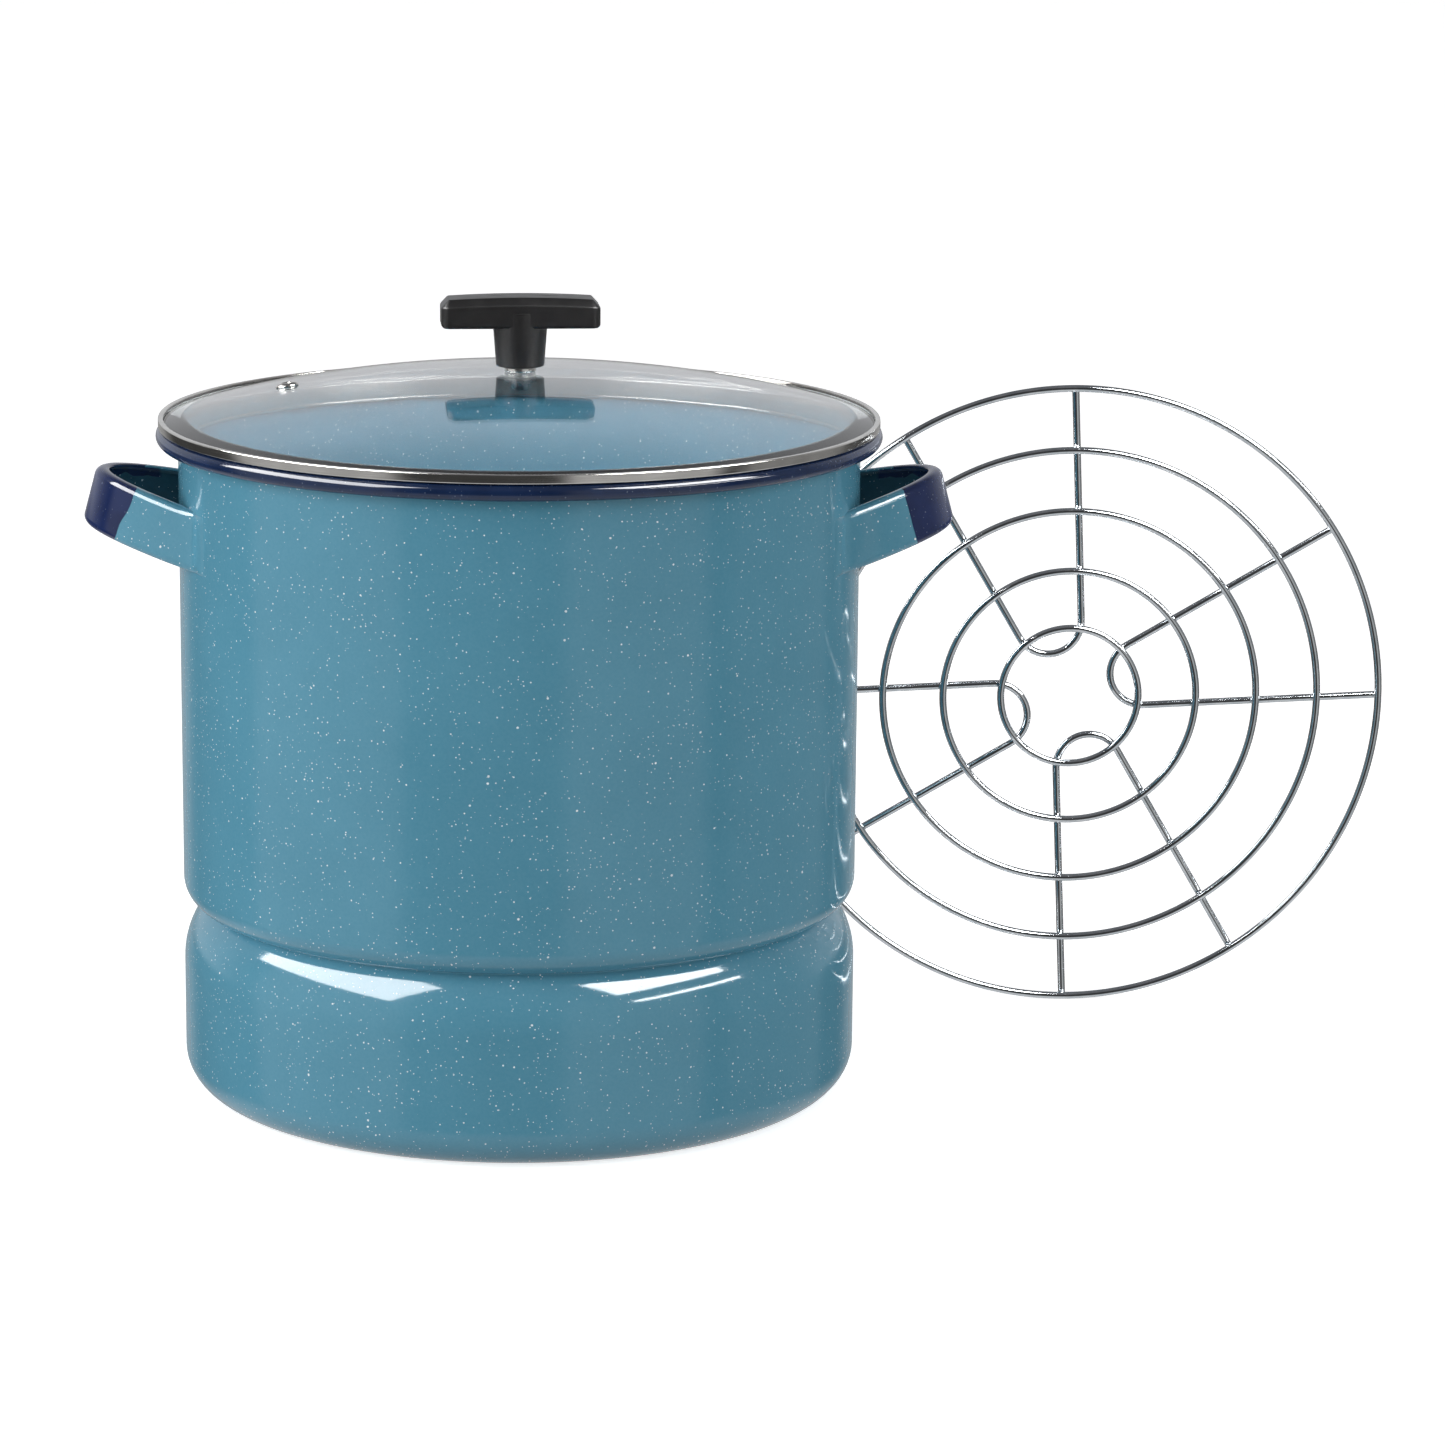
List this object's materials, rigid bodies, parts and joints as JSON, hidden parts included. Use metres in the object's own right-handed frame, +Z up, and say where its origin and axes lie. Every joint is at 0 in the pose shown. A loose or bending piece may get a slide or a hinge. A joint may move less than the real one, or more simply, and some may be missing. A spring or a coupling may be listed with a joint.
{
  "type": "steamer stock pot",
  "caption": "Round enamelled steel steamer pot with strap loop handles, a banded domed glass lid with vent and T-shaped knob, and a loose round wire steaming rack.",
  "frame": {"origin": "middle of the pot's flat base, on the surface that it stands on", "axes": "+Z up along the pot's axis, +X through the right-hand handle towards the side where the rack stands, +Y to the back"},
  "size_m": [0.5598, 0.298, 0.331],
  "materials": {
    "turquoise_enamel": "glossy turquoise vitreous enamel with fine white speckles, navy on the rolled edge",
    "handle_enamel": "glossy turquoise vitreous enamel with white speckles, dipped in navy on the outer third of the loop",
    "lid_glass": "clear tempered glass, polished",
    "polished_steel": "polished stainless steel",
    "zinc_steel": "zinc-plated steel",
    "brass": "turned brass",
    "silicone": "matt grey silicone",
    "black_phenolic": "moulded black phenolic, satin",
    "chromed_wire": "bright chromed steel wire"
  },
  "bodies": {
    "pot": {"pot_body": "turquoise_enamel", "handle_left": "handle_enamel", "handle_right": "handle_enamel"},
    "lid": {"lid_glass": "lid_glass", "lid_band": "polished_steel", "lid_seal": "silicone", "vent_eyelet": "polished_steel", "vent_gasket": "silicone", "knob": "black_phenolic", "knob_insert": "brass", "knob_screw": "zinc_steel", "knob_washer_upper": "polished_steel", "knob_gasket": "silicone", "knob_washer_lower": "zinc_steel"},
    "rack": {"rack_ring_1": "chromed_wire", "rack_ring_2": "chromed_wire", "rack_ring_3": "chromed_wire", "rack_ring_4": "chromed_wire", "rack_ring_5": "chromed_wire", "rack_hairpin_1": "chromed_wire", "rack_hairpin_2": "chromed_wire", "rack_hairpin_3": "chromed_wire", "rack_hairpin_4": "chromed_wire"}
  },
  "joints": [
    {"name": "lid_lift", "type": "slide", "parent": "pot", "child": "lid", "axis": [0, 0, 1], "range_m": [0, 0.3]},
    {"name": "rack_lift", "type": "slide", "parent": "pot", "child": "rack", "axis": [0, 0, 1], "range_m": [0, 0.45]}
  ]
}
